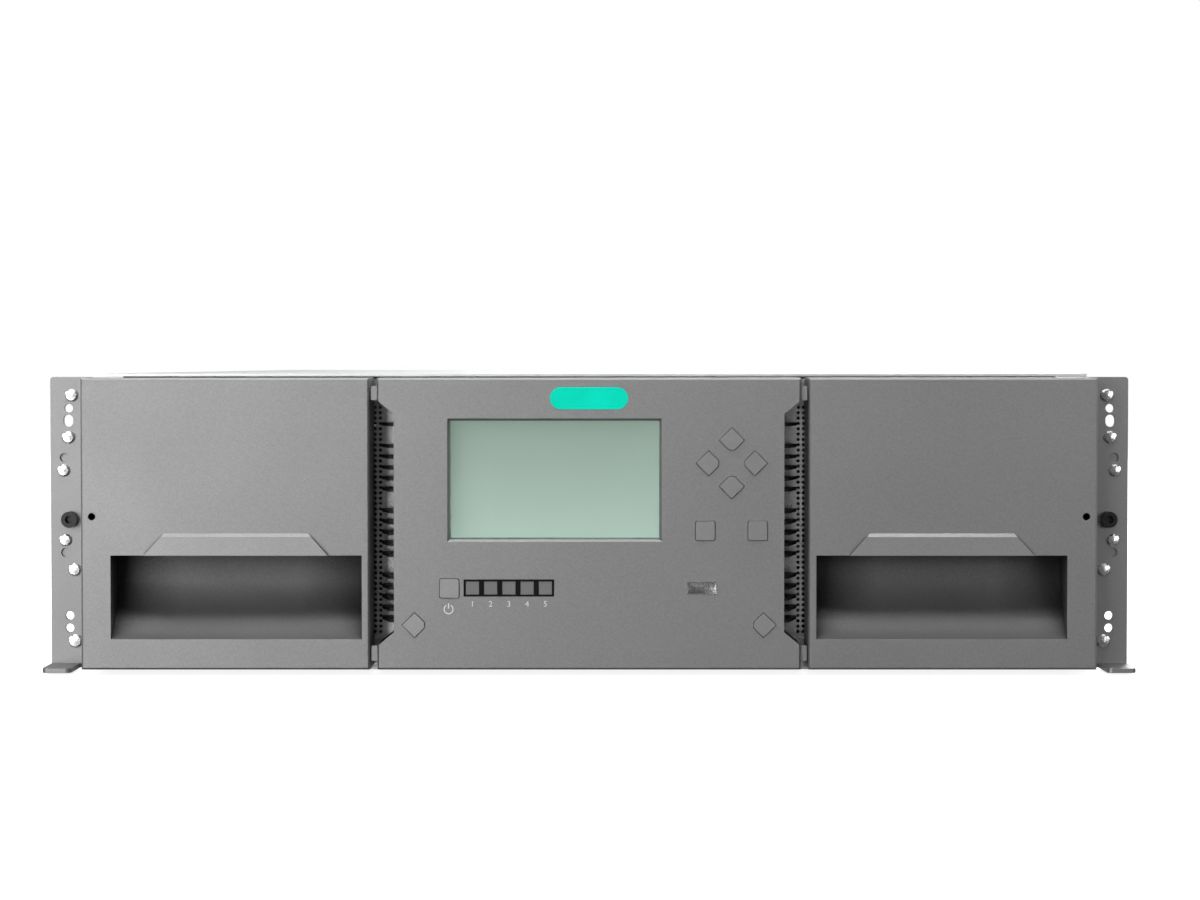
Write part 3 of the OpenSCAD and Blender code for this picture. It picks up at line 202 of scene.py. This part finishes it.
def metal_sheet(name, colour, rough, spangle=0.0, brush=(1, 1, 1), grain=0.000004, edge=0.0002):
    """Bare metal: drawn grain along one axis, and the cells of a zinc coat."""
    p = Paint(name)
    drawn = p.noise(0.0006, 3, 0.6, p.stretched(*brush))
    slow = p.noise(0.09, 3, 0.55)
    factor = p.sum(p.span(drawn, 0.3, 0.7, 0.93, 1.05), p.span(slow, 0.3, 0.7, -0.05, 0.05))
    roughness = p.sum(p.span(drawn, 0.3, 0.7, rough - 0.06, rough + 0.06),
                      p.span(slow, 0.3, 0.7, -0.03, 0.04))
    if spangle:
        cell = p.add("ShaderNodeSeparateColor", {0: p.cells(spangle).outputs["Color"]}).outputs[0]
        factor = p.sum(factor, p.span(cell, 0, 1, -0.03, 0.03))
        roughness = p.sum(roughness, p.span(cell, 0, 1, -0.02, 0.02))
    p.set(Base_Color=p.shade(rgb(*colour), factor), Metallic=1.0, Roughness=roughness,
          Normal=p.bump(drawn, grain, p.soft_edges(edge) if edge else None))
    return p


def screen_face(name):
    """Blank liquid-crystal screen: pale green, lighter towards the bottom as painted shade, with a painted
    shadow along its left and top edges, and a faint dot pitch.
    """
    p = Paint(name)
    low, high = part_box("display_lens")
    height = p.add("ShaderNodeSeparateXYZ", {0: p.place})
    # Painted shade: the screen is lighter towards the bottom and darker towards the top.
    painted_shade_climb = p.span(height.outputs["Z"], low.z, high.z, 0, 1)
    tone = p.mix(painted_shade_climb, rgb(0.450, 0.575, 0.515), rgb(0.330, 0.430, 0.368))
    # Painted shadow of the window's left and top walls, along those edges of the screen.
    left_wall_shadow = p.span(height.outputs["X"], low.x, low.x + 0.0022, 0.72, 1.0)
    top_wall_shadow = p.span(height.outputs["Z"], high.z - 0.0012, high.z, 1.0, 0.72)
    tone = p.add("ShaderNodeVectorMath", {0: tone, 3: p.sum(left_wall_shadow, top_wall_shadow, "MULTIPLY")},
                 operation="SCALE").outputs[0]
    dots = p.add("ShaderNodeTexBrick", {"Vector": p.add("ShaderNodeMapping", {
        "Vector": p.place, "Rotation": (math.radians(90), 0, 0)}).outputs[0],
        "Scale": 1.0, "Brick Width": 0.0004, "Row Height": 0.0004, "Mortar Size": 0.00003,
        "Color1": rgb(1, 1, 1), "Color2": rgb(0.99, 0.99, 0.99), "Mortar": rgb(0.93, 0.93, 0.93)},
        offset=0.0)
    tone = p.add("ShaderNodeMix", {0: 1.0, 6: tone, 7: dots.outputs["Color"]}, data_type="RGBA",
                 blend_type="MULTIPLY").outputs[2]
    # The glow uses the same tone, so it carries the painted shade and shadow as well.
    p.set(Base_Color=tone, Roughness=p.span(p.noise(0.02), 0.3, 0.7, 0.35, 0.42),
          Emission_Color=tone, Emission_Strength=0.5)
    return p


def clear_glass(name):
    p = Paint(name)
    smudge = p.noise(0.018, 4, 0.6)
    p.set(Base_Color=p.shade(rgb(0.80, 0.88, 0.84), p.span(smudge, 0.3, 0.7, 0.97, 1.03)),
          Roughness=p.span(smudge, 0.3, 0.7, 0.04, 0.12), Alpha=0.10, IOR=1.45)
    p.material.surface_render_method = "BLENDED"
    return p


def circuit(name):
    """Green solder mask with copper tracks under it."""
    p = Paint(name)
    tracks = p.add("ShaderNodeTexBrick", {"Vector": p.add("ShaderNodeMapping", {
        "Vector": p.place, "Rotation": (math.radians(90), 0, 0)}).outputs[0],
        "Scale": 1.0, "Brick Width": 0.011, "Row Height": 0.0018, "Mortar Size": 0.00012,
        "Color1": rgb(0.010, 0.075, 0.035), "Color2": rgb(0.012, 0.085, 0.040),
        "Mortar": rgb(0.03, 0.15, 0.07)})
    p.set(Base_Color=tracks.outputs["Color"], Roughness=p.span(p.noise(0.004), 0.3, 0.7, 0.22, 0.34),
          Normal=p.bump(tracks.outputs["Fac"], 0.00003))
    return p


def glossy(name, colour, rough, coat=0.6, glow=0.0, mirror=0.3):
    """Polished plastic under a clear coat; an optional glow is painted light."""
    p = Paint(name)
    slow = p.noise(0.012, 4, 0.6)
    tone = p.shade(rgb(*colour), p.span(slow, 0.3, 0.7, 0.94, 1.06))
    p.set(Base_Color=tone, Roughness=p.span(slow, 0.3, 0.7, rough, rough + 0.08), Coat_Weight=coat,
          Coat_Roughness=0.15, Specular_IOR_Level=mirror,
          Normal=p.bump(p.noise(0.0007), 0.000006, p.soft_edges(0.0002)))
    # Painted light: the plastic glows in its own tone, though it is no lamp.
    if glow:
        p.set(Emission_Color=tone, Emission_Strength=glow)
    return p


FINISHES = {
    "bezel_paint": lambda n: bezel_coat_and_painted_shade(n, (0.300, 0.300, 0.302)),
    "key_paint": lambda n: coated(n, (0.335, 0.335, 0.336), 0.90, 0.46, 0.04, 0.01, 0.00001, 0.0003),
    "galvanised_sheet": lambda n: metal_sheet(n, (0.74, 0.75, 0.76), 0.44, spangle=0.006),
    "ear_paint": lambda n: coated(n, (0.290, 0.290, 0.292), 0.90, 0.48, 0.06, 0.02, 0.00002, 0.0004),
    "bright_steel": lambda n: metal_sheet(n, (0.82, 0.82, 0.83), 0.24, brush=(1, 0.1, 1), edge=0.0),
    "black_steel": lambda n: coated(n, (0.018, 0.018, 0.020), 0.5, 0.38, 0.2, 0.05, 0.00002, 0.0005),
    "screen_glass": clear_glass,
    "screen_glow": screen_face,
    # Painted light: the teal badge glows at 0.34, though it is no lamp.
    "badge_teal": lambda n: glossy(n, (0.000, 0.60, 0.43), 0.5, 0.0, 0.34, 0.08),
    "strip_black": lambda n: glossy(n, (0.006, 0.006, 0.007), 0.6, 0.0, 0.0, 0.12),
    "status_grey": lambda n: glossy(n, (0.200, 0.202, 0.206), 0.45, 0.1),
    "board_green": circuit,
    "tray_plastic": lambda n: coated(n, (0.045, 0.048, 0.052), 0.0, 0.52, 0.1, 0.05, 0.00004, 0.0006,
                                     0.0004, 0.25),
    "divider_plastic": lambda n: coated(n, (0.24, 0.245, 0.25), 0.0, 0.48, 0.06, 0.04, 0.00003, 0.0006,
                                        0.0004),
    "rail_steel": lambda n: metal_sheet(n, (0.66, 0.66, 0.67), 0.32, brush=(1, 0.04, 1)),
    "robot_cast": lambda n: coated(n, (0.30, 0.30, 0.31), 0.85, 0.50, 0.08, 0.06, 0.00006, 0.0009),
    "motor_black": lambda n: coated(n, (0.022, 0.022, 0.024), 0.3, 0.42, 0.15, 0.05, 0.00003, 0.0006),
    "drive_case": lambda n: coated(n, (0.050, 0.052, 0.056), 0.0, 0.45, 0.1, 0.04, 0.00003, 0.0005,
                                   0.0004, 0.3),
    "module_sheet": lambda n: metal_sheet(n, (0.80, 0.81, 0.82), 0.40, spangle=0.004),
    "fan_black": lambda n: coated(n, (0.016, 0.016, 0.017), 0.0, 0.40, 0.1, 0.05, 0.00002, 0.0005),
}
materials = {slot: recipe(slot).material for slot, recipe in FINISHES.items()}

for part in frame["record"]["subparts"]:
    mesh = frame["nodes"][part["node"]].data
    mesh.materials.clear()
    mesh.materials.append(materials[part["material_slot"]])


def paint_of(name, colour, rough=0.5):
    return coated(name, colour, 0.0, rough, 0.05, 0.03, 0.000004, 0.0002, 0.00005).material


# ---------------------------------------------------------------- added pieces

def piece(name, mesh_maker, material, body):
    """A mesh made by mesh_maker(bm), riding on a body."""
    mesh = bpy.data.meshes.new(name)
    bm = bmesh.new()
    mesh_maker(bm)
    bmesh.ops.recalc_face_normals(bm, faces=bm.faces)
    bm.to_mesh(mesh)
    bm.free()
    mesh.materials.append(material)
    obj = bpy.data.objects.new(name, mesh)
    scene.collection.objects.link(obj)
    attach(obj, body)
    return obj


def outline_face(bm, outer, y0, y1, x, z):
    """A closed XZ outline, in metres about (x, z), given thickness from y0 to y1."""
    rings = [[bm.verts.new((x + a, y, z + b)) for a, b in outer] for y in (y0, y1)]
    n = len(outer)
    bm.faces.new(rings[0])
    bm.faces.new(list(reversed(rings[1])))
    for i in range(n):
        j = (i + 1) % n
        bm.faces.new((rings[0][i], rings[1][i], rings[1][j], rings[0][j]))


def arc_band(radius, width, start, end, steps=40):
    """Outline of a band along an arc, angles in degrees from the top."""
    angles = [math.radians(start + (end - start) * k / steps) for k in range(steps + 1)]
    outer = [(radius * math.sin(a), radius * math.cos(a)) for a in angles]
    inner = [((radius - width) * math.sin(a), (radius - width) * math.cos(a)) for a in reversed(angles)]
    return outer + inner


white_ink = paint_of("white_ink", (0.78, 0.78, 0.78))
PANEL_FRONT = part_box("panel_bezel")[0].y
INK = 0.00004
power_low, power_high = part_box("button_power")
power_mid = (power_low + power_high) / 2


def power_symbol(bm):
    x, z = power_mid.x - 0.0004, power_low.z - 0.0042
    outline_face(bm, arc_band(0.0022, 0.0005, 32, 328), PANEL_FRONT - INK, PANEL_FRONT + INK, x, z)
    bar = [(-0.00025, 0.0003), (0.00025, 0.0003), (0.00025, 0.0026), (-0.00025, 0.0026)]
    outline_face(bm, bar, PANEL_FRONT - INK, PANEL_FRONT + INK, x, z)


piece("power_symbol", power_symbol, white_ink, "chassis")

lens_low, lens_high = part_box("led_lenses")
lens_side = lens_high.z - lens_low.z
lens_step = (lens_high.x - lens_low.x - lens_side) / 4
for number in range(5):
    curve = bpy.data.curves.new(f"status_number_{number + 1}", "FONT")
    curve.body = str(number + 1)
    curve.size = 0.0036
    curve.align_x = "CENTER"
    curve.extrude = INK
    curve.materials.append(white_ink)
    label = bpy.data.objects.new(curve.name, curve)
    label.location = (lens_low.x + lens_side / 2 + number * lens_step, PANEL_FRONT, lens_low.z - 0.0053)
    label.rotation_euler = (math.radians(90), 0, 0)
    scene.collection.objects.link(label)
    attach(label, "chassis")


# Strips that close the seams between the panel and the magazines, above and below the vents
panel_low, panel_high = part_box("panel_bezel")
vent_low, vent_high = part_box("vent_screens")
# Depth behind the panel's front, thickness, distance from the panel's ends and bevel of a strip
SEAM_DEEP, SEAM_THICK, SEAM_END, SEAM_BEVEL = 0.0022, 0.0030, 0.0036, 0.0004
# How far a strip stays off the magazine, and how far it laps the panel and the vent
SEAM_GAP, SEAM_LAP, VENT_LAP = 0.0006, 0.0015, 0.001
seam_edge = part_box("right_magazine_bezel")[0].x - SEAM_GAP


def seam_strips(side):
    def make(bm):
        for z0, z1 in ((panel_low.z + SEAM_END, vent_low.z + VENT_LAP),
                       (vent_high.z - VENT_LAP, panel_high.z - SEAM_END)):
            x0, x1 = panel_high.x - SEAM_LAP, seam_edge
            b = SEAM_BEVEL
            ring = [(x0, z0 + b), (x0 + b, z0), (x1 - b, z0), (x1, z0 + b),
                    (x1, z1 - b), (x1 - b, z1), (x0 + b, z1), (x0, z1 - b)]
            y = panel_low.y + SEAM_DEEP
            outline_face(bm, [(side * a, c) for a, c in ring], y, y + SEAM_THICK, 0, 0)
    return make


for label, side in (("left", -1), ("right", 1)):
    piece(f"seam_strips_{label}", seam_strips(side), materials["bezel_paint"], "chassis")


def lathe_y(bm, x, y, z, profile, steps, knurl):
    """A turned shape along +Y from (radius, distance) pairs, with teeth of depth knurl on its widest rings."""
    widest = max(r for r, d in profile)
    rings = []
    for r, d in profile:
        ring = []
        for k in range(steps):
            a = math.tau * k / steps
            reach = r - (knurl if k % 2 and r == widest else 0.0)
            ring.append(bm.verts.new((x + reach * math.cos(a), y + d, z + reach * math.sin(a))))
        rings.append(ring)
    for below, above in zip(rings, rings[1:]):
        for k in range(steps):
            n = (k + 1) % steps
            bm.faces.new((below[k], below[n], above[n], above[k]))
    bm.faces.new(rings[0])
    bm.faces.new(list(reversed(rings[-1])))


# Captive thumb screws of the rear modules: (radius, distance) from the module's face, in metres
THUMB_SCREW = [(0.0028, -0.0004), (0.0028, 0.0016), (0.0043, 0.0020), (0.0046, 0.0024), (0.0046, 0.0076),
               (0.0042, 0.0082), (0.0030, 0.0084), (0.0024, 0.0074), (0.0008, 0.0072)]
# Pan-head sheet screws of the rear panel, with a round recess
PAN_SCREW = [(0.0030, -0.0003), (0.0030, 0.0006), (0.0026, 0.0014), (0.0014, 0.0018), (0.0011, 0.0017),
             (0.0009, 0.0008), (0.0003, 0.0007)]


SCREW_STEPS = 32
KNURL = 0.0004


def screws(name, places, profile, body, knurl=0.0):
    """Alike screws at the given places, as one piece."""
    def make(bm):
        for x, y, z in places:
            lathe_y(bm, x, y, z, profile, SCREW_STEPS, knurl)
    piece(name, make, materials["bright_steel"], body)


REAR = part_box("rear_panel")[1].y
MODULE_FACE = REAR + 0.0020
# Distance of the thumb screws from a module's edges, and of the sleds' from the ends and the floor of the face
SCREW_IN = 0.0065
SLED_SCREW_IN, SLED_SCREW_UP = 0.0055, 0.020
# The same for the rear panel's screws: at its sides, their heights, and along its top
PANEL_SCREW_IN, PANEL_SCREW_UP, PANEL_SCREW_MID = 0.0045, 0.014, 0.068
TOP_SCREW_X, TOP_SCREW_DOWN = 0.100, 0.006

for number in (1, 2, 3):
    low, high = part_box(f"drive_sled_{number}")
    spots = [(side * (high.x - SLED_SCREW_IN), MODULE_FACE, low.z + SLED_SCREW_UP) for side in (-1, 1)]
    screws(f"sled_screws_{number}", spots, THUMB_SCREW, f"drive_module_{number}", KNURL)
for number in (1, 2):
    low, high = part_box(f"power_supply_{number}")
    spots = [(low.x + SCREW_IN, MODULE_FACE, high.z - SCREW_IN)]
    screws(f"supply_screw_{number}", spots, THUMB_SCREW, f"power_supply_{number}", KNURL)
low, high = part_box("controller_module")
spots = [(x, MODULE_FACE, high.z - SCREW_IN) for x in (low.x + SCREW_IN, high.x - SCREW_IN)]
screws("controller_screws", spots, THUMB_SCREW, "controller", KNURL)
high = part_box("rear_panel")[1]
heights = (PANEL_SCREW_UP, PANEL_SCREW_MID, high.z - PANEL_SCREW_UP)
spots = [(side * (high.x - PANEL_SCREW_IN), REAR, z) for side in (-1, 1) for z in heights]
spots += [(side * TOP_SCREW_X, REAR, high.z - TOP_SCREW_DOWN) for side in (-1, 1)]
screws("rear_panel_screws", spots, PAN_SCREW, "chassis")


# ---------------------------------------------------------------- floor and light

def floor_material():
    """Pale floor with a slight glow of its own, so that it stays as light as the backdrop."""
    p = Paint("studio_floor")
    tone = p.shade(rgb(0.80, 0.80, 0.80), p.span(p.noise(0.8), 0.3, 0.7, 0.995, 1.005))
    p.set(Base_Color=tone, Roughness=0.9, Emission_Color=tone, Emission_Strength=1.05)
    return p.material


floor_mesh = bpy.data.meshes.new("studio_floor")
floor_mesh.from_pydata([(-15, -15, 0), (15, -15, 0), (15, 15, 0), (-15, 15, 0)], [], [(0, 1, 2, 3)])
floor_mesh.materials.append(floor_material())
floor = bpy.data.objects.new("studio_floor", floor_mesh)
floor.location.z = CAD_BOX[0].z - 0.0002
floor.visible_diffuse = floor.visible_glossy = False
scene.collection.objects.link(floor)


def soft_box(name, place, aim, width, height, power):
    light = bpy.data.lights.new(name, "AREA")
    light.shape = "RECTANGLE"
    light.size, light.size_y = width, height
    light.energy = power
    obj = bpy.data.objects.new(name, light)
    obj.location = place
    obj.rotation_euler = (Vector(aim) - Vector(place)).to_track_quat("-Z", "Y").to_euler()
    scene.collection.objects.link(obj)
    return obj


# Sizes and places in metres, powers in watts
soft_box("key", (-1.15, -2.00, 0.35), (-0.03, -0.03, 0.07), 1.5, 1.5, 34)
soft_box("over_front", (-0.1, -0.45, 1.10), (0, -0.03, 0.06), 1.2, 0.35, 9)
soft_box("low_right", (1.0, -1.6, 0.25), (0.2, 0, 0.05), 0.5, 0.4, 3.6)
soft_box("over_top", (0, 0.60, 1.7), (0, 0.5, 0), 2.4, 2.0, 14)
soft_box("rear", (0.6, 2.6, 1.2), (0, 0.7, 0.06), 1.2, 1.0, 30)
soft_box("side_right", (2.2, 0.3, 0.9), (0.2, 0.4, 0.06), 1.0, 1.0, 14)
soft_box("side_left", (-2.2, 0.3, 0.9), (-0.2, 0.4, 0.06), 1.0, 1.0, 14)

world = bpy.data.worlds.new("studio")
world.use_nodes = True
tree = world.node_tree
seen = tree.nodes["Background"]
seen.inputs["Color"].default_value = rgb(1, 1, 1)
seen.inputs["Strength"].default_value = 1.0
room = tree.nodes.new("ShaderNodeBackground")
room.inputs["Color"].default_value = rgb(1, 1, 1)
# The room is dim in front, which keeps the contrast of the bezels, and lighter behind
heading = tree.nodes.new("ShaderNodeSeparateXYZ")
tree.links.new(tree.nodes.new("ShaderNodeTexCoord").outputs["Generated"], heading.inputs[0])
lightness = tree.nodes.new("ShaderNodeMapRange")
for key, value in {"From Min": -0.1, "From Max": 0.6, "To Min": 0.10, "To Max": 0.42}.items():
    lightness.inputs[key].default_value = value
tree.links.new(heading.outputs["Y"], lightness.inputs["Value"])
tree.links.new(lightness.outputs[0], room.inputs["Strength"])
choice = tree.nodes.new("ShaderNodeMixShader")
tree.links.new(tree.nodes.new("ShaderNodeLightPath").outputs["Is Camera Ray"], choice.inputs[0])
tree.links.new(room.outputs[0], choice.inputs[1])
tree.links.new(seen.outputs[0], choice.inputs[2])
tree.links.new(choice.outputs[0], tree.nodes["World Output"].inputs["Surface"])
scene.world = world
